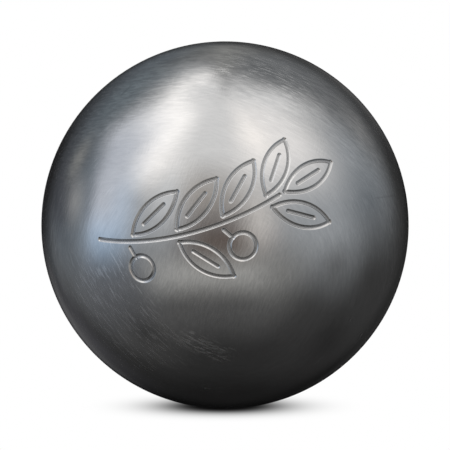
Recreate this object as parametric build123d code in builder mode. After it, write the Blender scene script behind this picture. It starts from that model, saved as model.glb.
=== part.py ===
from build123d import *

import os
from math import atan2, cos, degrees, hypot, radians, sin, sqrt

# A petanque boule: two forged steel half-shells, butted at the middle, joined by a weld
# that is ground flush, and engraved with an olive sprig on the front half.
# Millimetres and degrees. The origin is the ball's centre, +Z is up, and the engraving
# faces -Y. The weld lies in the XZ plane, and the ball was turned about the Y axis.

# Ball
BALL_DIAMETER = 73.0
WALL = 6.3

# Weld joint between the half-shells
ROOT_FACE = 1.5  # flat land at the inside, where the half-shells butt
BEVEL_ANGLE = 30.0  # slope of each half-shell's edge away from the joint plane

# Place of the engraving on the ball
MARK_TILT = 5.0  # upwards from the horizon
MARK_TURN = 1.5  # to the left, as seen when facing it

# Engraved line
LINE_WIDTH = 0.9
LINE_DEPTH = 0.35
LINE_CROSSING = 0.6  # how far two lines run past the place where they meet
CUTTER_RISE = 0.3  # how far the cutter stands clear of the surface

# Sprig, measured along the ball's surface from the middle of the engraving
STEM_SLOPE = 20.0  # of the stem at the middle of the engraving
STEM_RADIUS = 58.0  # of the stem's upward curve
STEM_START = -26.0
STEM_END = 13.0
STEM_GAP = 1.3  # from the stem to what grows out of it
FIRST_PAIR = -19.4
PAIR_PITCH = 9.5
PAIR_COUNT = 4
LEAF_LENGTH = 12.4
LEAF_WIDTH = 4.8
LEAF_ANGLE = 42.0  # between a leaf and the stem
RIB_START = 3.2  # from the leaf's foot
RIB_END = 8.8  # from the leaf's foot
OLIVE_PAIRS = (0, 2)  # pairs whose lower leaf is an olive on a stalk
OLIVE_DIAMETER = 5.2
STALK_LENGTH = 2.2
STALK_ANGLE = 60.0  # between a stalk and the stem

# Sizes that follow from those above
ball_radius = BALL_DIAMETER / 2
hollow_radius = ball_radius - WALL
root_radius = hollow_radius + ROOT_FACE
bevel_length = (
    sqrt(ball_radius**2 - (root_radius * sin(radians(BEVEL_ANGLE))) ** 2)
    - root_radius * cos(radians(BEVEL_ANGLE))
)
bevel_run = bevel_length * cos(radians(BEVEL_ANGLE))
bevel_setback = bevel_length * sin(radians(BEVEL_ANGLE))
bevel_rise = degrees(atan2(bevel_setback, root_radius + bevel_run))

cutter_half_width = LINE_WIDTH / 2 * (LINE_DEPTH + CUTTER_RISE) / LINE_DEPTH
cutter_outline = [
    (0, -LINE_DEPTH),
    (cutter_half_width, CUTTER_RISE),
    (-cutter_half_width, CUTTER_RISE),
]

mark_middle = Vector(0, -1, 0).rotate(Axis.X, -MARK_TILT).rotate(Axis.Z, -MARK_TURN)
mark = Plane(origin=(0, 0, 0), x_dir=Vector(0, 0, 1).cross(mark_middle), z_dir=mark_middle)


def on_ball(place):
    """The point of the ball's surface at a place of the flat drawing, wrapped round its middle."""
    across, up = place
    reach = hypot(across, up)
    bend = reach / ball_radius
    heading = atan2(up, across)
    sideways = mark.x_dir * cos(heading) + mark.y_dir * sin(heading)
    return (mark.z_dir * cos(bend) + sideways * sin(bend)) * ball_radius


def stem_heading(along):
    """The heading at a distance along the stem, in radians from the flat drawing's level."""
    return radians(STEM_SLOPE) + along / STEM_RADIUS


def on_stem(along):
    """The place at a distance along the stem, in the flat drawing."""
    heading = stem_heading(along)
    across = STEM_RADIUS * (sin(heading) - sin(stem_heading(0)))
    up = STEM_RADIUS * (cos(stem_heading(0)) - cos(heading))
    return across, up


def beside(place, heading, ahead, aside=0.0):
    """The place that lies so far ahead of another, and so far to the left of its heading."""
    across = place[0] + ahead * cos(heading) - aside * sin(heading)
    up = place[1] + ahead * sin(heading) + aside * cos(heading)
    return across, up


def cut(start, direction, turn):
    """A cut of the cutter: its section at the start, the axis it turns about and its turn."""
    outward = start.normalized()
    ahead = direction.cross(start).normalized()
    section = Plane(origin=start, x_dir=outward.cross(ahead), z_dir=ahead)
    return section, Axis((0, 0, 0), direction), turn


def arc_cut(places, lead=0.0, trail=0.0):
    """The cut along the arc through three places, led in and trailed out by a length."""
    start, middle, end = (on_ball(place) for place in places)
    direction = (middle - start).cross(end - start).normalized()
    hub = direction * direction.dot(start)
    from_hub = start - hub
    to_hub = end - hub
    turn = degrees(atan2(direction.dot(from_hub.cross(to_hub)), from_hub.dot(to_hub))) % 360
    lead_turn = degrees(lead / from_hub.length)
    trail_turn = degrees(trail / from_hub.length)
    first = start.rotate(Axis((0, 0, 0), direction), -lead_turn)
    return cut(first, direction, lead_turn + turn + trail_turn)


def ring_cut(centre, start):
    """The cut round a circle about one place of the flat drawing, from another."""
    return cut(on_ball(start), on_ball(centre).normalized(), 360)


def straight_cut(place, heading, first, last, trail=0.0):
    """The straight cut ahead of a place, from a first to a last distance, and trailed out."""
    distances = (first, (first + last) / 2, last)
    return arc_cut([beside(place, heading, distance) for distance in distances], trail=trail)


def leaf_cuts(place, heading):
    """The two edges and the rib of a leaf that starts at a place of the flat drawing."""
    tip = beside(place, heading, LEAF_LENGTH)
    cuts = [straight_cut(place, heading, RIB_START, RIB_END)]
    for side in (1, -1):
        belly = beside(place, heading, LEAF_LENGTH / 2, side * LEAF_WIDTH / 2)
        cuts.append(arc_cut((place, belly, tip), LINE_CROSSING, LINE_CROSSING))
    return cuts


def olive_cuts(place, heading):
    """An olive and its stalk, which starts at a place of the flat drawing."""
    foot = beside(place, heading, STALK_LENGTH)
    centre = beside(foot, heading, OLIVE_DIAMETER / 2)
    return [ring_cut(centre, foot), straight_cut(place, heading, 0, STALK_LENGTH, LINE_CROSSING)]


def grow(along, angle):
    """The place where something starts to grow out of the stem at an angle, and its heading."""
    heading = stem_heading(along) + radians(angle)
    return beside(on_stem(along), heading, STEM_GAP / abs(sin(radians(angle)))), heading


# Cuts of the sprig: the stem, the leaves and olives in pairs along it, and the leaf at its tip
stem_middle = (STEM_START + STEM_END) / 2
sprig_cuts = [arc_cut([on_stem(along) for along in (STEM_START, stem_middle, STEM_END)])]
for pair in range(PAIR_COUNT):
    along = FIRST_PAIR + pair * PAIR_PITCH
    sprig_cuts += leaf_cuts(*grow(along, LEAF_ANGLE))
    if pair in OLIVE_PAIRS:
        sprig_cuts += olive_cuts(*grow(along, -STALK_ANGLE))
    else:
        sprig_cuts += leaf_cuts(*grow(along, -LEAF_ANGLE))
tip_heading = stem_heading(STEM_END)
sprig_cuts += leaf_cuts(beside(on_stem(STEM_END), tip_heading, STEM_GAP), tip_heading)

# Weld in the groove between the half-shells, ground flush with the ball
with BuildPart() as weld_bead:
    with BuildSketch(Plane.XY):
        with BuildLine():
            Polyline(
                (root_radius + bevel_run, -bevel_setback),
                (root_radius, 0),
                (root_radius + bevel_run, bevel_setback),
            )
            CenterArc((0, 0), ball_radius, -bevel_rise, 2 * bevel_rise)
        make_face()
    revolve(axis=Axis.Y)

# Rear half-shell, with its edge bevelled for the weld
with BuildPart() as rear_shell:
    Sphere(ball_radius, arc_size3=180, align=None)
    Sphere(hollow_radius, arc_size3=180, align=None, mode=Mode.SUBTRACT)
    with BuildSketch(Plane.XY):
        with BuildLine():
            Polyline(
                (root_radius, 0),
                (root_radius + 2 * bevel_run, 0),
                (root_radius + 2 * bevel_run, 2 * bevel_setback),
                close=True,
            )
        make_face()
    revolve(axis=Axis.Y, mode=Mode.SUBTRACT)

# Front half-shell, with the engraving
with BuildPart() as front_shell:
    add(rear_shell.part, rotation=(0, 0, 180))
    for section, axis, turn in sprig_cuts:
        with BuildSketch(section):
            Polygon(*cutter_outline, align=None)
        revolve(axis=axis, revolution_arc=turn, mode=Mode.SUBTRACT)

os.makedirs("parts", exist_ok=True)
pieces = {
    "front_shell": front_shell.part,
    "rear_shell": rear_shell.part,
    "weld_bead": weld_bead.part,
}
for name, piece in pieces.items():
    piece.label = name
    export_step(piece, f"parts/{name}.step")
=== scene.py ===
from math import asin, atan2, ceil, cos, hypot, pi, radians, sin, sqrt, tan

import bpy
import numpy as np
from mathutils import Matrix, Vector
from mathutils.geometry import delaunay_2d_cdt


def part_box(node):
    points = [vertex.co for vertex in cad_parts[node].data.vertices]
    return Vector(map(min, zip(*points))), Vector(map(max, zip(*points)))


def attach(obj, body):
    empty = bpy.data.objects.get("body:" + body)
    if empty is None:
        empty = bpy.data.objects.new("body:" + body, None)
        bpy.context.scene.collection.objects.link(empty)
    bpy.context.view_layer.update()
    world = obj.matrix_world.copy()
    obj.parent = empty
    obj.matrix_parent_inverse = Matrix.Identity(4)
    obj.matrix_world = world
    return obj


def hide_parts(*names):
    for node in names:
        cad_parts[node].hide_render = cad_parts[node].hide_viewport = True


# A petanque boule of satin steel on a white table. Metres, in the part's own frame: the
# origin is the ball's centre, +Z is up and the engraved half faces -Y.

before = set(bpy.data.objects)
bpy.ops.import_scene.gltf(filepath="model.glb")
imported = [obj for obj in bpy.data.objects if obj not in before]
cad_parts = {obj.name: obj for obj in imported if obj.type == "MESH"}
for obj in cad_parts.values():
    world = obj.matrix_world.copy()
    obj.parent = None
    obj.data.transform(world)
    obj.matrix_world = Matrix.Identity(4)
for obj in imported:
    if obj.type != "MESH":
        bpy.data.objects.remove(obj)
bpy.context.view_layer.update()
MM = 0.001


def vertex_radii(node):
    """How far the points of a CAD node are from the ball's centre."""
    return [vertex.co.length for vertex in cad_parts[node].data.vertices]


# Sizes of the ball, from the frame
ball_radius = max(vertex_radii("weld_bead"))
root_radius = min(vertex_radii("weld_bead"))
hollow_radius = min(vertex_radii("rear_shell"))
weld_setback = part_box("weld_bead")[1].y
weld_rise = asin(weld_setback / ball_radius)

# Place of the engraving on the ball
MARK_TILT = radians(5.0)  # upwards from the horizon
MARK_TURN = radians(1.5)  # to the left, as seen when facing it

# Section of an engraved line: a flat floor between two rounded walls
LINE_HALF_WIDTH = 0.45 * MM
FLOOR_HALF_WIDTH = 0.12 * MM
LINE_DEPTH = 0.27 * MM
LIP_ROUNDING = 0.3  # nought for straight walls, one for fully rounded ones
LINE_CROSSING = 0.1 * MM  # how far two lines run past the place where they meet

# Sprig, measured along the ball's surface from the middle of the engraving
STEM_SLOPE = radians(20.0)  # of the stem at the middle of the engraving
STEM_RADIUS = 58.0 * MM  # of the stem's upward curve
STEM_START = -26.0 * MM
STEM_END = 13.0 * MM
STEM_GAP = 1.3 * MM  # from the stem to what grows out of it
FIRST_PAIR = -19.4 * MM
PAIR_PITCH = 9.5 * MM
PAIR_COUNT = 4
LEAF_LENGTH = 12.4 * MM
LEAF_WIDTH = 4.8 * MM
LEAF_ANGLE = radians(42.0)  # between a leaf and the stem
RIB_START = 3.2 * MM  # from the leaf's foot
RIB_END = 8.8 * MM  # from the leaf's foot
OLIVE_PAIRS = (0, 2)  # pairs whose lower leaf is an olive on a stalk
OLIVE_DIAMETER = 5.2 * MM
STALK_LENGTH = 2.2 * MM
STALK_ANGLE = radians(60.0)  # between a stalk and the stem

# Fineness of the meshes
RING_POINTS = 288
GRID_PITCH = 1.25 * MM
GRID_CLEARANCE = 0.8 * MM  # from the middle of a line to the grid
LINE_PITCH = 0.25 * MM  # along a line
LIP_MARGIN = 0.05 * MM  # of plain surface beside a line
WALL_STEPS = 4
CAP_STEPS = 8  # round the end of a line
HOLLOW_ROWS = 24
WELD_ROWS = 8
ROW_SHARE = sqrt(0.75)  # height of an even-sided triangle, as a share of its side
MERGE_MM = 0.004  # points of the flat map that are closer become one
SLOPE_STEP = 0.01 * MM  # to either side of a point, to find the slope there
UPRIGHT = 0.9  # rise of a direction from which its tangents follow the X axis
TURN_TOLERANCE = 1e-6
POLE_GUARD = 1e-12  # against a division by nought at the pole of the flat map

turn_to_mark = Matrix.Rotation(-MARK_TURN, 3, "Z") @ Matrix.Rotation(-MARK_TILT, 3, "X")
mark_out = turn_to_mark @ Vector((0, -1, 0))
mark_right = Vector((0, 0, 1)).cross(mark_out).normalized()
mark_up = mark_out.cross(mark_right)


class Stroke:
    """An engraved line: part of a circle on the unit ball, from a start about an axis."""

    def __init__(self, start, axis, turn):
        self.axis = np.array(axis)
        self.turn = turn
        self.closed = turn > 2 * pi - TURN_TOLERANCE
        start = np.array(start)
        self.swing = float(np.arccos(start @ self.axis))
        self.first = start - self.axis * (start @ self.axis)
        self.first /= np.linalg.norm(self.first)
        self.second = np.cross(self.axis, self.first)
        self.ends = (self.points([0.0])[0], self.points([turn])[0])

    def points(self, turns, aside=0.0):
        """Points of the unit ball at angles of turn, set aside by an angle from the line."""
        turns = np.array(turns)[:, None]
        spoke = np.cos(turns) * self.first + np.sin(turns) * self.second
        swing = self.swing + aside
        return cos(swing) * self.axis + sin(swing) * spoke

    def steps(self):
        """Angles of turn along the line, close enough for its mesh."""
        length = self.turn * sin(self.swing) * ball_radius
        return np.linspace(0, self.turn, ceil(length / LINE_PITCH) + 1)

    def cap(self, turn, aside, forward):
        """Points round one end of the line, at an angle from it."""
        end = self.points([turn])[0]
        ahead = np.cross(self.axis, end)
        ahead /= np.linalg.norm(ahead)
        outer = np.cross(end, ahead) * -forward
        around = np.linspace(0, pi, CAP_STEPS + 1)[1:-1, None]
        sideways = np.cos(around) * outer + np.sin(around) * ahead * forward
        return cos(aside) * end + sin(aside) * sideways

    def outlines(self, offset):
        """Closed rows of points round the line, at an offset from it."""
        aside = offset / ball_radius
        steps = self.steps()
        if self.closed:
            return [self.points(steps[:-1], aside), self.points(steps[:-1], -aside)]
        parts = [
            self.points(steps, aside),
            self.cap(self.turn, aside, 1),
            self.points(steps[::-1], -aside),
            self.cap(0.0, aside, -1),
        ]
        return [np.concatenate(parts)]

    def distance(self, directions):
        """How far directions from the ball's centre meet its surface from this line."""
        turns = np.arctan2(directions @ self.second, directions @ self.first) % (2 * pi)
        beside_line = np.abs(np.arccos(np.clip(directions @ self.axis, -1, 1)) - self.swing)
        from_ends = [2 * np.arcsin(np.linalg.norm(directions - end, axis=1) / 2) for end in self.ends]
        beyond_ends = np.minimum(*from_ends)
        return np.where(turns <= self.turn, beside_line, beyond_ends) * ball_radius


def on_ball(place):
    """The direction of a place of the flat drawing, wrapped round the middle of the engraving."""
    across, up = place
    bend = hypot(across, up) / ball_radius
    heading = atan2(up, across)
    sideways = mark_right * cos(heading) + mark_up * sin(heading)
    return mark_out * cos(bend) + sideways * sin(bend)


def stem_heading(along):
    """The heading at a distance along the stem, from the flat drawing's level."""
    return STEM_SLOPE + along / STEM_RADIUS


def on_stem(along):
    """The place at a distance along the stem, in the flat drawing."""
    heading = stem_heading(along)
    across = STEM_RADIUS * (sin(heading) - sin(stem_heading(0)))
    up = STEM_RADIUS * (cos(stem_heading(0)) - cos(heading))
    return across, up


def beside(place, heading, ahead, aside=0.0):
    """The place that lies so far ahead of another, and so far to the left of its heading."""
    across = place[0] + ahead * cos(heading) - aside * sin(heading)
    up = place[1] + ahead * sin(heading) + aside * cos(heading)
    return across, up


def arc_stroke(places, lead=0.0, trail=0.0):
    """The line along the arc through three places, led in and trailed out by a length."""
    start, middle, end = (on_ball(place) for place in places)
    axis = (middle - start).cross(end - start).normalized()
    hub = axis * axis.dot(start)
    from_hub = start - hub
    to_hub = end - hub
    turn = atan2(axis.dot(from_hub.cross(to_hub)), from_hub.dot(to_hub)) % (2 * pi)
    lead_turn = lead / ball_radius / from_hub.length
    trail_turn = trail / ball_radius / from_hub.length
    first = Matrix.Rotation(-lead_turn, 3, axis) @ start
    return Stroke(first, axis, lead_turn + turn + trail_turn)


def straight_stroke(place, heading, first, last, trail=0.0):
    """The straight line ahead of a place, from a first to a last distance, and trailed out."""
    distances = (first, (first + last) / 2, last)
    return arc_stroke([beside(place, heading, distance) for distance in distances], trail=trail)


def leaf_strokes(place, heading):
    """The two edges and the rib of a leaf that starts at a place of the flat drawing."""
    tip = beside(place, heading, LEAF_LENGTH)
    lines = [straight_stroke(place, heading, RIB_START, RIB_END)]
    for side in (1, -1):
        belly = beside(place, heading, LEAF_LENGTH / 2, side * LEAF_WIDTH / 2)
        lines.append(arc_stroke((place, belly, tip), LINE_CROSSING, LINE_CROSSING))
    return lines


def olive_strokes(place, heading):
    """An olive and its stalk, which starts at a place of the flat drawing."""
    foot = beside(place, heading, STALK_LENGTH)
    centre = beside(foot, heading, OLIVE_DIAMETER / 2)
    ring = Stroke(on_ball(foot), on_ball(centre), 2 * pi)
    return [ring, straight_stroke(place, heading, 0, STALK_LENGTH, LINE_CROSSING)]


def grow(along, angle):
    """The place where something starts to grow out of the stem at an angle, and its heading."""
    heading = stem_heading(along) + angle
    return beside(on_stem(along), heading, STEM_GAP / abs(sin(angle))), heading


def sprig_strokes():
    """The stem, the leaves and olives in pairs along it, and the leaf at its tip."""
    stem_middle = (STEM_START + STEM_END) / 2
    lines = [arc_stroke([on_stem(along) for along in (STEM_START, stem_middle, STEM_END)])]
    for pair in range(PAIR_COUNT):
        along = FIRST_PAIR + pair * PAIR_PITCH
        lines += leaf_strokes(*grow(along, LEAF_ANGLE))
        if pair in OLIVE_PAIRS:
            lines += olive_strokes(*grow(along, -STALK_ANGLE))
        else:
            lines += leaf_strokes(*grow(along, -LEAF_ANGLE))
    tip_heading = stem_heading(STEM_END)
    lines += leaf_strokes(beside(on_stem(STEM_END), tip_heading, STEM_GAP), tip_heading)
    return lines


def unit(vectors):
    """Vectors made one long."""
    return vectors / np.linalg.norm(vectors, axis=1, keepdims=True)


def distance_to_lines(directions, strokes):
    """How far directions from the ball's centre meet its surface from the nearest line."""
    nearest = np.full(len(directions), 1.0)
    for stroke in strokes:
        nearest = np.minimum(nearest, stroke.distance(directions))
    return nearest


def surface_height(directions, strokes):
    """How far the engraved surface lies above the round ball: nought, or less in a line."""
    distance = distance_to_lines(directions, strokes)
    wall = (distance - FLOOR_HALF_WIDTH) / (LINE_HALF_WIDTH - FLOOR_HALF_WIDTH)
    wall = np.clip(wall, 0, 1)
    rounded = wall * wall * (3 - 2 * wall)
    return LINE_DEPTH * (wall + LIP_ROUNDING * (rounded - wall) - 1)


def surface_normals(directions, strokes):
    """Outward normals of the engraved surface, from the slope of its height."""
    level = np.abs(directions[:, 2:]) < UPRIGHT
    helper = np.where(level, [[0.0, 0.0, 1.0]], [[1.0, 0.0, 0.0]])
    first = unit(np.cross(helper, directions))
    second = np.cross(directions, first)
    normals = directions.copy()
    for tangent in (first, second):
        ahead = unit(directions + tangent * (SLOPE_STEP / ball_radius))
        behind = unit(directions - tangent * (SLOPE_STEP / ball_radius))
        rise = surface_height(ahead, strokes) - surface_height(behind, strokes)
        normals -= tangent * (rise / (2 * SLOPE_STEP))[:, None]
    return unit(normals)


def flatten(directions):
    """Places in millimetres in a flat map of the front half, wrapped round its pole at -Y."""
    off_axis = np.hypot(directions[:, 0], directions[:, 2])
    polar = np.arctan2(off_axis, -directions[:, 1])
    reach = polar * ball_radius / MM / np.maximum(off_axis, POLE_GUARD)
    return directions[:, [0, 2]] * reach[:, None]


def wrap(places):
    """Directions of places in the flat map of the front half."""
    reach = np.hypot(places[:, 0], places[:, 1])
    polar = reach * MM / ball_radius
    off_axis = np.sin(polar) / np.maximum(reach, POLE_GUARD)
    return np.stack([places[:, 0] * off_axis, -np.cos(polar), places[:, 1] * off_axis], 1)


def ring_spokes():
    """Directions in the XZ plane of the points of a ring about the turning axis."""
    turns = np.arange(RING_POINTS) * 2 * pi / RING_POINTS
    return np.stack([np.cos(turns), np.zeros(RING_POINTS), np.sin(turns)], 1)


def cap_mesh(strokes):
    """Directions and triangles of a half-shell's outside, and its points round the weld."""
    rim = flatten(unit(ring_spokes() * cos(weld_rise) - [0, sin(weld_rise), 0]))
    places = [rim]
    edges = [(i, (i + 1) % RING_POINTS) for i in range(RING_POINTS)]
    count = RING_POINTS
    wall_offsets = np.linspace(FLOOR_HALF_WIDTH, LINE_HALF_WIDTH, WALL_STEPS + 1)
    offsets = [*wall_offsets, LINE_HALF_WIDTH + LIP_MARGIN]
    for stroke in strokes:
        rows = [(stroke.points(stroke.steps()), stroke.closed)]
        for offset in offsets:
            rows += [(row, True) for row in stroke.outlines(offset)]
        for row, closed in rows:
            size = len(row)
            places.append(flatten(row))
            edges += [(count + i, count + (i + 1) % size) for i in range(size - 1 + closed)]
            count += size
    reach = (pi / 2 - weld_rise) * ball_radius / MM
    pitch = GRID_PITCH / MM
    lines = ceil(reach / (pitch * ROW_SHARE)) + 1
    row, column = np.mgrid[-lines : lines + 1, -lines : lines + 1]
    grid = np.stack([(column + row % 2 / 2) * pitch, row * pitch * ROW_SHARE], -1).reshape(-1, 2)
    grid = grid[np.hypot(grid[:, 0], grid[:, 1]) < reach - pitch / 2]
    grid = grid[distance_to_lines(wrap(grid), strokes) > GRID_CLEARANCE]
    places.append(grid)
    flat = [Vector(place) for place in np.concatenate(places)]
    points, _, triangles, sources, _, _ = delaunay_2d_cdt(flat, edges, [], 0, MERGE_MM)
    rim_points = [0] * RING_POINTS
    for index, source in enumerate(sources):
        for original in source:
            if original < RING_POINTS:
                rim_points[original] = index
    return wrap(np.array([tuple(point) for point in points])), triangles, rim_points


def add_piece(name, node, slot, material, vertices, faces, normals):
    """A piece of the ball in place of a CAD node, with a normal for each corner of each face."""
    mesh = bpy.data.meshes.new(name)
    mesh.from_pydata([tuple(vertex) for vertex in vertices], [], faces)
    mesh.polygons.foreach_set("use_smooth", [True] * len(mesh.polygons))
    mesh.normals_split_custom_set([tuple(normal) for normal in normals])
    mesh.materials.append(material)
    piece = bpy.data.objects.new(name, mesh)
    bpy.context.scene.collection.objects.link(piece)
    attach(piece, "root")
    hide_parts(node)
    return piece


def bevel_normals(spokes):
    """Outward normals of the front half-shell's bevelled edge, at each spoke of a ring."""
    bevel_run = ball_radius * cos(weld_rise) - root_radius
    bevel_length = hypot(bevel_run, weld_setback)
    return (spokes * weld_setback + [0, bevel_run, 0]) / bevel_length


def half_shell(strokes):
    """Vertices, faces and corner normals of the front half-shell, with engraved lines."""
    directions, triangles, rim = cap_mesh(strokes)
    outside = surface_normals(directions, strokes)
    heights = surface_height(directions, strokes)
    vertices = list(directions * (ball_radius + heights)[:, None])
    faces = [tuple(triangle) for triangle in triangles]
    normals = [outside[index] for face in faces for index in face]
    spokes = ring_spokes()
    bevel = bevel_normals(spokes)
    rearward = np.array([0.0, 1.0, 0.0])
    land = np.tile(rearward, (RING_POINTS, 1))

    def add_ring(points):
        """Adds a ring of vertices, and gives their indices."""
        vertices.extend(points)
        return list(range(len(vertices) - RING_POINTS, len(vertices)))

    def add_band(outer, inner, outer_normals, inner_normals):
        """Adds the faces between two rings, with the normals at each of them."""
        for i in range(RING_POINTS):
            j = (i + 1) % RING_POINTS
            faces.append((outer[i], inner[i], inner[j], outer[j]))
            normals.extend([outer_normals[i], inner_normals[i], inner_normals[j], outer_normals[j]])

    root = add_ring(spokes * root_radius)
    add_band(rim, root, bevel, bevel)
    row = add_ring(spokes * hollow_radius)
    add_band(root, row, land, land)
    row_out = spokes
    for step in range(1, HOLLOW_ROWS):
        rise = pi / 2 * step / HOLLOW_ROWS
        next_out = spokes * cos(rise) - [0, sin(rise), 0]
        next_row = add_ring(next_out * hollow_radius)
        add_band(row, next_row, -row_out, -next_out)
        row, row_out = next_row, next_out
    vertices.append(np.array([0, -hollow_radius, 0]))
    pole = len(vertices) - 1
    for i in range(RING_POINTS):
        j = (i + 1) % RING_POINTS
        faces.append((row[i], pole, row[j]))
        normals.extend([-row_out[i], rearward, -row_out[j]])
    return np.array(vertices), faces, np.array(normals)


def weld_ring():
    """Vertices, faces and corner normals of the weld, ground flush with the ball."""
    spokes = ring_spokes()
    front_bevel = -bevel_normals(spokes)
    rear_bevel = front_bevel * [1, -1, 1]
    rows = []
    for step in range(WELD_ROWS + 1):
        rise = weld_rise * (2 * step / WELD_ROWS - 1)
        rows.append(spokes * cos(rise) + [0, sin(rise), 0])
    vertices = np.concatenate([row * ball_radius for row in rows] + [spokes * root_radius])
    faces = []
    normals = []
    row_count = WELD_ROWS + 2
    for step in range(row_count):
        near = step * RING_POINTS
        far = (step + 1) % row_count * RING_POINTS
        if step < WELD_ROWS:
            near_normals, far_normals = rows[step], rows[step + 1]
        elif step == WELD_ROWS:
            near_normals = far_normals = rear_bevel
        else:
            near_normals = far_normals = front_bevel
        for i in range(RING_POINTS):
            j = (i + 1) % RING_POINTS
            faces.append((near + i, far + i, far + j, near + j))
            normals.extend([near_normals[i], far_normals[i], far_normals[j], near_normals[j]])
    return vertices, faces, np.array(normals)


# Sockets of a colour mix node, which has others of the same names
MIX_SHARE = 0
MIX_FIRST = 6
MIX_SECOND = 7
MIX_RESULT = 2


class Nodes:
    """Adds shader nodes to a tree."""

    def __init__(self, tree):
        self.tree = tree
        tree.nodes.clear()

    def add(self, kind, inputs=None, **settings):
        """A new node of a kind, with its settings and inputs."""
        node = self.tree.nodes.new(kind)
        for key, value in settings.items():
            setattr(node, key, value)
        for socket, value in (inputs or {}).items():
            self.put(node.inputs[socket], value)
        return node

    def put(self, socket, value):
        """Links a socket to the output of another node, or sets it to a value."""
        if isinstance(value, bpy.types.NodeSocket):
            self.tree.links.new(value, socket)
        else:
            socket.default_value = value

    def math(self, operation, *values, clamp=False):
        """The result of an operation on values."""
        node = self.add("ShaderNodeMath", dict(enumerate(values)), operation=operation)
        node.use_clamp = clamp
        return node.outputs[0]

    def noise(self, vector, detail=2.0, roughness=0.5, scale=1.0):
        """Smooth noise, from nought to one."""
        inputs = {"Vector": vector, "Scale": scale, "Detail": detail, "Roughness": roughness}
        return self.add("ShaderNodeTexNoise", inputs).outputs[0]

    def remap(self, value, from_low, from_high, to_low, to_high, smooth=False):
        """A value carried over from one range to another, and held at its ends."""
        node = self.add("ShaderNodeMapRange", {"Value": value})
        node.interpolation_type = "SMOOTHSTEP" if smooth else "LINEAR"
        node.clamp = True
        node.inputs["From Min"].default_value = from_low
        node.inputs["From Max"].default_value = from_high
        node.inputs["To Min"].default_value = to_low
        node.inputs["To Max"].default_value = to_high
        return node.outputs[0]

    def mix_color(self, share, first, second):
        """A colour that goes from the first to the second as the share rises."""
        node = self.add("ShaderNodeMix", data_type="RGBA")
        self.put(node.inputs[MIX_SHARE], share)
        self.put(node.inputs[MIX_FIRST], first)
        self.put(node.inputs[MIX_SECOND], second)
        return node.outputs[MIX_RESULT]


# Brushing of the steel: the axes that it goes round, and where one takes over from another
BRUSH_AXIS = (-0.05, -0.97, -0.23)
LEFT_AXIS = (-0.08, 0.08, 0.99)  # level streaks at the upper left
RIGHT_AXIS = (-0.354, -0.635, -0.685)  # sloped streaks at the upper right
CROSS_AXIS = (0.95, -0.075, -0.305)  # upright streaks near the pole of the brush axis
TOP_START = 5.0 * MM
TOP_END = 14.0 * MM
LEFT_END = -12.0 * MM
RIGHT_START = 4.0 * MM
CROSS_INNER = 0.2  # off the brush axis, as a share of the radius
CROSS_OUTER = 0.65
POLE_INNER = 5.0 * MM  # off any axis, where the streaks round it fade away
POLE_OUTER = 16.0 * MM

# Streaks: width and length, then the detail and roughness of their noise
FINE_STREAKS = (0.45 * MM, 2.2 * MM, 2.0, 0.5)
COARSE_STREAKS = (1.5 * MM, 4.5 * MM, 3.0, 0.55)
CROSS_STREAKS = (0.32 * MM, 1.5 * MM, 2.0, 0.5)
NOISE_MIDDLE = 0.5
WANDER = 0.9 * MM  # how far the streaks stray from their rounds
WANDER_PITCH = 12.0 * MM

# Relief, and the grain on the floor of the engraved lines
FINE_DEPTH = 0.012 * MM
COARSE_DEPTH = 0.007 * MM
CROSS_DEPTH = 0.012 * MM
GRAIN_DEPTH = 0.03 * MM
GRAIN_PITCH = 0.4 * MM
GRAIN_ROUGHNESS = 0.6

# Patches, by the value of their noise: where the brushing is deeper, where the cross streaks
# end and where single scratches are scattered
PATCH_PITCH = 6.0 * MM
PATCH_ROUGHNESS = 0.55
DEEPER_START = 0.38
DEEPER_END = 0.64
LEAST_DEEP = 0.4
CROSS_START = 0.36
CROSS_END = 0.60
SCATTER_START = 0.55
SCATTER_END = 0.75
MOST_SCATTERED = 0.35

# Tones of the brushing: greys, and how far they spread, which is less at the front and the rear
SHELL_GREYS = ((0.59, 0.585, 0.58, 1), (0.44, 0.44, 0.44, 1))
SHELL_ROUGHNESS = (0.14, 0.22)
WELD_GREYS = ((0.57, 0.56, 0.55, 1), (0.42, 0.415, 0.41, 1))
WELD_ROUGHNESS = (0.16, 0.24)
TONE_MIDDLE = 0.5
TONE_SPREAD = 9.0
CENTRE_SHARE = 0.17
EDGE_START = 0.84  # off the brush axis, as a share of the radius
REAR_START = -10.0 * MM
REAR_END = 6.0 * MM
REAR_SHARE = 0.45
COARSE_SHARE = 0.35  # of the coarse streaks in the tone
COARSE_SHARE_TOP = 0.75
COARSE_START = 29.0 * MM
COARSE_END = 35.5 * MM

# Engraved lines, scratches, whose lighter grey is a painted sheen, and hairlines
ENGRAVED_BAND = 0.3  # of a line's depth, above its floor
ENGRAVED_GREY = (0.36, 0.36, 0.36, 1)
ENGRAVED_ROUGHNESS = 0.30
SCRATCH_WIDTH = 0.36 * MM
SCRATCH_LENGTH = 5.0 * MM
SCRATCH_DETAIL = 1.0
SCRATCH_CROWDING = 0.10
SCRATCH_START = 0.58
SCRATCH_END = 0.70
SCRATCH_ROUGHNESS = 0.25
SCRATCH_SHEEN_GREY = (0.80, 0.79, 0.78, 1)
HAIRLINE_GREY = (0.36, 0.36, 0.36, 1)
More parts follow.
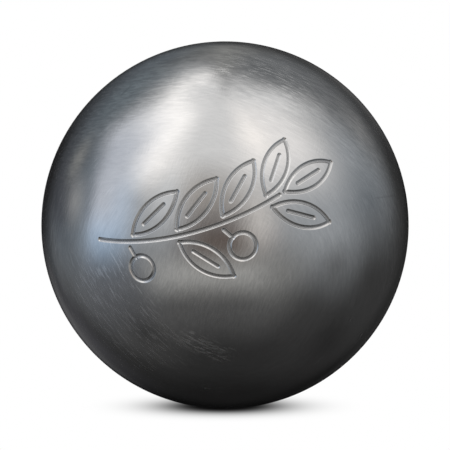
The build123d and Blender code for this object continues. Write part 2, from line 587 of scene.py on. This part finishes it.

# Marks of use on the front, whose scratches are painted lighter as a painted sheen, and areas where
# the tones are calm: azimuth to the right and elevation of the middle, heading from level, all in
# degrees, then length, width and strength.
# Worn areas also have the length of their scratches
WORN_AREAS = [
    ((-38, -26, -60, 38 * MM, 26 * MM, 0.48), 3.0 * MM),
    ((-7, -36, -30, 15 * MM, 6.5 * MM, 0.65), 2.6 * MM),
    ((-6, -36.8, -27, 9 * MM, 5.5 * MM, 0.75), 2.6 * MM),
    ((25, 60, -40, 28 * MM, 16 * MM, 0.45), 2.2 * MM),
]
CALM_AREAS = [
    (-5, 42, 0, 100 * MM, 40 * MM, 0.34),
    (72, 0, 90, 60 * MM, 36 * MM, 0.4),
]
HAIRLINES = [
    (-54, 49, 83, 4 * MM, 0.7 * MM, 0.6),
    (61, 11, 0, 11 * MM, 0.5 * MM, 0.35),
]


class Steel(Nodes):
    """Steel brushed round several axes, with scratches and matt engraved lines."""

    def __init__(self, name):
        self.material = bpy.data.materials.new(name)
        self.material.use_nodes = True
        super().__init__(self.material.node_tree)
        self.place = self.add("ShaderNodeTexCoord").outputs["Object"]
        self.wander = self.noise(self.place, scale=1 / WANDER_PITCH)
        self.patches = self.noise(self.place, roughness=PATCH_ROUGHNESS, scale=1 / PATCH_PITCH)
        split = self.add("ShaderNodeSeparateXYZ", {"Vector": self.place})
        self.aside, self.depth, self.height = split.outputs
        self.reach = self.off_axis(BRUSH_AXIS)[2]
        self.off_pole = self.ramp(self.reach, CROSS_INNER * ball_radius, CROSS_OUTER * ball_radius)

    def vector_math(self, operation, *values, output=0):
        """The result of an operation on vectors."""
        node = self.add("ShaderNodeVectorMath", dict(enumerate(values)), operation=operation)
        return node.outputs[output]

    def scaled(self, vector, factor):
        """A vector times a factor."""
        node = self.add("ShaderNodeVectorMath", {0: vector}, operation="SCALE")
        self.put(node.inputs["Scale"], factor)
        return node.outputs[0]

    def along(self, direction):
        """How far a place lies along a direction from the ball's centre."""
        return self.vector_math("DOT_PRODUCT", self.place, direction, output="Value")

    def off_axis(self, axis):
        """The part of a place along an axis, its spoke from that axis and the spoke's length."""
        along = self.along(axis)
        spoke = self.vector_math("SUBTRACT", self.place, self.scaled(axis, along))
        return along, spoke, self.vector_math("LENGTH", spoke, output="Value")

    def blend(self, share, first, second):
        """A value that goes from the first to the second as the share rises."""
        return self.math("MULTIPLY_ADD", self.math("SUBTRACT", second, first), share, first)

    def ramp(self, value, low, high):
        """A share that rises smoothly from nought to one between two values."""
        return self.remap(value, low, high, 0.0, 1.0, smooth=True)

    def streaks(self, axis, width, length, detail, roughness=0.5):
        """Noise drawn out into streaks round an axis, which fade away at its poles."""
        along, spoke, reach = self.off_axis(axis)
        across = self.math("MULTIPLY", self.math("ARCTAN2", reach, along), ball_radius)
        across = self.math("MULTIPLY_ADD", self.wander, WANDER, across)
        steps = self.scaled(axis, self.math("DIVIDE", across, width))
        vector = self.vector_math("ADD", self.scaled(spoke, 1 / length), steps)
        painted_table_brightness = self.ramp(reach, POLE_INNER, POLE_OUTER)
        return self.blend(painted_table_brightness, NOISE_MIDDLE, self.noise(vector, detail, roughness))

    def brushing(self, streaks):
        """Streaks round the brush axis, and high up on the ball round two others."""
        axes = (BRUSH_AXIS, LEFT_AXIS, RIGHT_AXIS)
        low, left, right = (self.streaks(axis, *streaks) for axis in axes)
        rightward = self.ramp(self.aside, LEFT_END, RIGHT_START)
        upper = self.ramp(self.height, TOP_START, TOP_END)
        return self.blend(upper, low, self.blend(rightward, left, right))

    def mark(self, azimuth, elevation, heading, length, width, strength):
        """The soft-edged mask of a mark along its heading, and the axis that its lines go round."""
        turn, rise, lean = radians(azimuth), radians(elevation), radians(heading)
        out = Vector((sin(turn) * cos(rise), -cos(turn) * cos(rise), sin(rise)))
        right = Vector((cos(turn), sin(turn), 0))
        ahead = right * cos(lean) + out.cross(right) * sin(lean)
        axis = out.cross(ahead)
        mask = self.math("MULTIPLY", self.math("GREATER_THAN", self.along(out), 0.0), strength)
        for direction, size in ((ahead, length), (axis, width)):
            offset = self.math("ABSOLUTE", self.along(direction))
            edge = self.remap(offset, size / 4, size / 2, 1.0, 0.0, smooth=True)
            mask = self.math("MULTIPLY", mask, edge)
        return mask, axis

    def marks(self, places):
        """The common mask of several marks."""
        strongest = 0.0
        for place in places:
            strongest = self.math("MAXIMUM", strongest, self.mark(*place)[0])
        return strongest

    def scratches(self):
        """Mask of the thin scratches in the worn areas, and of those scattered over the ball."""
        scattered = self.remap(self.patches, SCATTER_START, SCATTER_END, 0.0, MOST_SCATTERED)
        scattered = self.math("MULTIPLY", scattered, self.off_pole)
        areas = [(*self.mark(*area), length) for area, length in WORN_AREAS]
        areas.append((scattered, BRUSH_AXIS, SCRATCH_LENGTH))
        strongest = 0.0
        for mask, axis, length in areas:
            lines = self.streaks(axis, SCRATCH_WIDTH, length, SCRATCH_DETAIL)
            lines = self.math("MULTIPLY_ADD", mask, SCRATCH_CROWDING, lines)
            cut = self.math("MULTIPLY", self.remap(lines, SCRATCH_START, SCRATCH_END, 0.0, 1.0), mask)
            strongest = self.math("MAXIMUM", strongest, cut)
        return strongest

    def engraved(self):
        """Mask of the floor of the engraved lines."""
        radius = self.vector_math("LENGTH", self.place, output="Value")
        line_floor = ball_radius - LINE_DEPTH
        return self.remap(radius, line_floor, line_floor + ENGRAVED_BAND * LINE_DEPTH, 1.0, 0.0)

    def relief(self, fine, coarse, cross, engraved):
        """Normals of the relief of the streaks, and of the grain in the engraved lines."""
        brushed = self.remap(self.patches, DEEPER_START, DEEPER_END, LEAST_DEEP, 1.0, smooth=True)
        brushed = self.math("MULTIPLY", brushed, self.off_pole)
        crossed = self.remap(self.patches, CROSS_START, CROSS_END, 1.0, 0.0, smooth=True)
        crossed = self.math("MAXIMUM", crossed, self.math("SUBTRACT", 1.0, self.off_pole))
        grain = self.noise(self.place, roughness=GRAIN_ROUGHNESS, scale=1 / GRAIN_PITCH)
        layers = [
            (fine, brushed, FINE_DEPTH),
            (coarse, brushed, COARSE_DEPTH),
            (cross, crossed, CROSS_DEPTH),
            (grain, engraved, GRAIN_DEPTH),
        ]
        height = 0.0
        for layer, share, depth in layers:
            height = self.math("MULTIPLY_ADD", layer, self.math("MULTIPLY", share, depth), height)
        bump = self.add("ShaderNodeBump", {"Height": height, "Distance": 1.0, "Strength": 1.0})
        return bump.outputs[0]

    def lightness(self, fine, coarse, cross):
        """The share of the lighter grey in the tone of the streaks."""
        coarse_share = self.remap(
            self.height, COARSE_START, COARSE_END, COARSE_SHARE, COARSE_SHARE_TOP
        )
        brushed = self.blend(coarse_share, fine, coarse)
        brushed = self.blend(self.off_pole, cross, brushed)
        edge_start = EDGE_START * ball_radius
        centre_spread = CENTRE_SHARE * TONE_SPREAD
        spread = self.remap(self.reach, edge_start, ball_radius, centre_spread, TONE_SPREAD)
        calm = self.math("SUBTRACT", 1.0, self.marks(CALM_AREAS))
        spread = self.math("MULTIPLY", spread, calm)
        rear = self.remap(self.depth, REAR_START, REAR_END, 1.0, REAR_SHARE)
        spread = self.math("MULTIPLY", spread, rear)
        off_middle = self.math("SUBTRACT", brushed, NOISE_MIDDLE)
        return self.math("MULTIPLY_ADD", off_middle, spread, TONE_MIDDLE, clamp=True)

    def finish(self, light_grey, dark_grey, roughness_low, roughness_high):
        """The material, from its greys and the range of its roughness."""
        fine = self.brushing(FINE_STREAKS)
        coarse = self.brushing(COARSE_STREAKS)
        cross = self.streaks(CROSS_AXIS, *CROSS_STREAKS)
        engraved = self.engraved()
        scratches = self.scratches()
        tone = self.mix_color(self.lightness(fine, coarse, cross), dark_grey, light_grey)
        # Scratches are real wear and also rougher, but their lighter grey is a painted sheen of the
        # light they catch
        tone = self.mix_color(scratches, tone, SCRATCH_SHEEN_GREY)
        tone = self.mix_color(self.marks(HAIRLINES), tone, HAIRLINE_GREY)
        tone = self.mix_color(engraved, tone, ENGRAVED_GREY)
        roughness_span = roughness_high - roughness_low
        roughness = self.math("MULTIPLY_ADD", self.patches, roughness_span, roughness_low)
        roughness = self.math("MULTIPLY_ADD", scratches, SCRATCH_ROUGHNESS, roughness)
        roughness = self.math("MULTIPLY_ADD", engraved, ENGRAVED_ROUGHNESS, roughness)
        relief = self.relief(fine, coarse, cross, engraved)
        shader = self.add(
            "ShaderNodeBsdfPrincipled",
            {"Base Color": tone, "Metallic": 1.0, "Roughness": roughness, "Normal": relief},
        )
        self.add("ShaderNodeOutputMaterial", {"Surface": shader.outputs[0]})
        return self.material


shell_steel = Steel("satin_steel").finish(*SHELL_GREYS, *SHELL_ROUGHNESS)
bead_steel = Steel("weld_steel").finish(*WELD_GREYS, *WELD_ROUGHNESS)

strokes = sprig_strokes()
add_piece("front_half_shell", "front_shell", "satin_steel", shell_steel, *half_shell(strokes))

# The rear half-shell is a plain one, turned half round about the Z axis
plain_vertices, plain_faces, plain_normals = half_shell([])
half_turn = [-1, -1, 1]
add_piece(
    "rear_half_shell",
    "rear_shell",
    "satin_steel",
    shell_steel,
    plain_vertices * half_turn,
    plain_faces,
    plain_normals * half_turn,
)
add_piece("weld_seam", "weld_bead", "weld_steel", bead_steel, *weld_ring())

# White table that glows, with a painted contact shadow under the ball: its brightness is the share of
# a white tent above it that the ball doesn't hide, which follows from the distance to the ball's
# centre
FLOOR_SIZE = 2.0
TABLE_EXPOSURE = 5.8
TABLE_SHOULDER = 1.9  # how softly it turns white
TABLE_TOE = 0.35  # how softly it turns black
TABLE_BLACK = 0.06  # share that is lost everywhere
HIDING_POWER = -3.0
SHADOW_SHIFT = (-0.3 * MM, 2.2 * MM, 0)  # of the shadow to the left and the back
half = FLOOR_SIZE / 2
floor_mesh = bpy.data.meshes.new("floor")
corners = [(-half, -half), (half, -half), (half, half), (-half, half)]
floor_mesh.from_pydata([(*corner, -ball_radius) for corner in corners], [], [(0, 1, 2, 3)])
floor = bpy.data.objects.new("floor", floor_mesh)
bpy.context.scene.collection.objects.link(floor)
table_painted_shadow_material = bpy.data.materials.new("white_table_painted_shadow")
table_painted_shadow_material.use_nodes = True
nodes = Nodes(table_painted_shadow_material.node_tree)
place = nodes.add("ShaderNodeTexCoord").outputs["Object"]
from_ball = nodes.add("ShaderNodeVectorMath", {0: place, 1: SHADOW_SHIFT}, operation="DISTANCE")
reach = nodes.math("DIVIDE", from_ball.outputs["Value"], ball_radius)
hidden = nodes.math("POWER", reach, HIDING_POWER)
open_share = nodes.math("SUBTRACT", 1.0 - TABLE_BLACK, hidden)
painted_table_brightness = nodes.math("MULTIPLY", open_share, TABLE_EXPOSURE)
painted_table_brightness = nodes.math("SMOOTH_MIN", painted_table_brightness, 1.0, TABLE_SHOULDER)
painted_table_brightness = nodes.math("SMOOTH_MAX", painted_table_brightness, 0.0, TABLE_TOE, clamp=True)
# The table's glow carries the painted shadow; no lamp lights the table
painted_shadow_glow = nodes.add("ShaderNodeEmission", {"Color": (1, 1, 1, 1), "Strength": painted_table_brightness})
nodes.add("ShaderNodeOutputMaterial", {"Surface": painted_shadow_glow.outputs[0]})
floor_mesh.materials.append(table_painted_shadow_material)
floor.visible_glossy = False

# Studio as the ball mirrors it, each card painted over those before: azimuth to the right from
# the camera's side, elevation, width, height and softness, all in degrees, and light
CARDS = {
    "floor_dark": (0, -30, 250, 60, 40, (0.07, 0.07, 0.07)),
    "room": (0, 15, 250, 70, 45, (0.54, 0.57, 0.6)),
    "ceiling": (0, 75, 360, 50, 40, (1.2, 1.2, 1.2)),
    "left_box": (-64, 47, 76, 44, 26, (2.1, 2.05, 2.0)),
    "left_strip": (-108, 66, 120, 6, 18, (2.1, 2.05, 2.0)),
    "right_box": (42, 58, 84, 60, 42, (1.4, 1.37, 1.35)),
    "box_gap": (-12, 64, 70, 56, 36, (1.15, 1.15, 1.15)),
    "right_lamp": (30, 60, 20, 24, 40, (2.0, 1.9, 1.8)),
    "warm_wall": (-18, 22, 60, 24, 40, (0.6, 0.55, 0.5)),
    "camera": (0, -8, 56, 36, 40, (0.14, 0.1, 0.08)),
    "left_pane": (-38, 20, 12, 32, 32, (1.1, 1.15, 1.2)),
    "right_pane": (22, 8, 14, 34, 28, (1.1, 1.05, 1.0)),
    "table": (-30, -50, 160, 20, 45, (0.15, 0.15, 0.15)),
    "table_left": (-86, -53, 30, 12, 34, (0.02, 0.02, 0.02)),
    "table_edge": (-12.5, -25.5, 90, 16, 26, (0.65, 0.65, 0.63)),
    "table_right": (38, -24, 26, 24, 36, (0.34, 0.34, 0.33)),
    "right_gap": (76, -18, 14, 12, 24, (0.12, 0.12, 0.12)),
    "window": (-84, 5, 30, 38, 32, (0.75, 1.2, 1.75)),
    "window_top": (-89, 25, 46, 60, 35, (0.85, 0.90, 1.00)),
    "window_sill": (-85, -25, 64, 25, 40, (0.185, 0.195, 0.215)),
    "left_flag": (-137, 10, 80, 42, 18, (0.22, 0.26, 0.3)),
    "frame_end": (-98.5, 9, 9, 16, 10, (0.24, 0.28, 0.33)),
    "flag_middle": (-138, 12, 50, 36, 18, (0.12, 0.13, 0.15)),
    "flag_top": (-140, 40, 46, 32, 34, (0.2, 0.24, 0.27)),
    "left_gap": (-124, 18, 10, 10, 14, (0.44, 0.44, 0.42)),
    "left_gap_low": (-110, 7, 12, 12, 16, (0.52, 0.52, 0.52)),
    "sill_left": (-116, -14, 14, 10, 24, (0.12, 0.14, 0.16)),
    "left_slot": (-138, -12, 6, 16, 15, (0.30, 0.32, 0.34)),
    "right_wall": (104, 8, 36, 26, 38, (0.24, 0.27, 0.3)),
    "right_flag": (125, -22, 66, 42, 40, (0.06, 0.06, 0.06)),
    "right_low": (118, -46, 44, 16, 30, (0.03, 0.03, 0.03)),
    "back_wall": (156, 48, 60, 50, 38, (0.23, 0.24, 0.25)),
    "back_strip": (180, 45, 5, 50, 20, (0.42, 0.42, 0.40)),
    "right_shelf": (133, 25, 16, 8, 22, (0.38, 0.38, 0.38)),
    "back": (-170, 2, 60, 34, 36, (0.02, 0.02, 0.02)),
    "under_ball": (180, -42, 60, 60, 45, (0.016, 0.016, 0.016)),
    "contact": (180, -18, 46, 32, 24, (0.004, 0.004, 0.004)),
    "left_table": (-148, -25, 22, 18, 30, (0.10, 0.10, 0.11)),
    "left_back": (-160, -16.5, 16, 14, 12, (0.13, 0.13, 0.135)),
    "right_back": (163, -15, 16, 18, 12, (0.032, 0.032, 0.032)),
    "back_right": (167, 9, 12, 8, 12, (0.13, 0.13, 0.13)),
}
GROUND = (0.04, 0.04, 0.04, 1)

world = bpy.data.worlds.new("studio")
bpy.context.scene.world = world
world.use_nodes = True
world.cycles.sampling_method = "NONE"
nodes = Nodes(world.node_tree)
direction = nodes.add("ShaderNodeTexCoord").outputs["Generated"]
split = nodes.add("ShaderNodeSeparateXYZ", {"Vector": direction})
east, north, rise = split.outputs
azimuth = nodes.math("DEGREES", nodes.math("ARCTAN2", east, nodes.math("MULTIPLY", north, -1.0)))
elevation = nodes.math("DEGREES", nodes.math("ARCSINE", rise))
light = GROUND
for card_azimuth, card_elevation, width, height, softness, color in CARDS.values():
    aside = nodes.math("WRAP", nodes.math("SUBTRACT", azimuth, card_azimuth), 180.0, -180.0)
    above = nodes.math("SUBTRACT", elevation, card_elevation)
    masks = []
    for offset, size in ((aside, width), (above, height)):
        off_middle = nodes.math("ABSOLUTE", offset)
        inner = (size - softness) / 2
        outer = (size + softness) / 2
        masks.append(nodes.remap(off_middle, inner, outer, 1.0, 0.0, smooth=True))
    light = nodes.mix_color(nodes.math("MULTIPLY", *masks), light, (*color, 1))
studio = nodes.add("ShaderNodeBackground", {"Color": light, "Strength": 1.0})
white = nodes.add("ShaderNodeBackground", {"Color": (1, 1, 1, 1), "Strength": 1.0})
path = nodes.add("ShaderNodeLightPath")
seen = nodes.add(
    "ShaderNodeMixShader",
    {0: path.outputs["Is Camera Ray"], 1: studio.outputs[0], 2: white.outputs[0]},
)
nodes.add("ShaderNodeOutputWorld", {"Surface": seen.outputs[0]})

# Camera, aimed at the middle of the ball from a little above
CAMERA_DISTANCE = 1.0
CAMERA_RISE = radians(4.7)
SENSOR = 36.0
IMAGE_SIZE = 450
BALL_PIXELS = 183.7  # radius of the ball in the image
CLIP_START = 0.01
view_angle = asin(ball_radius / CAMERA_DISTANCE)
lens = BALL_PIXELS / IMAGE_SIZE * SENSOR / tan(view_angle)
camera_data = bpy.data.cameras.new("camera")
camera_data.lens = lens
camera_data.sensor_width = SENSOR
camera_data.clip_start = CLIP_START
camera = bpy.data.objects.new("camera", camera_data)
bpy.context.scene.collection.objects.link(camera)
camera.location = (0, -CAMERA_DISTANCE * cos(CAMERA_RISE), CAMERA_DISTANCE * sin(CAMERA_RISE))
camera.rotation_euler = (pi / 2 - CAMERA_RISE, 0, 0)
bpy.context.scene.camera = camera
bpy.context.scene.view_settings.view_transform = "Standard"
bpy.context.scene.cycles.use_denoising = True
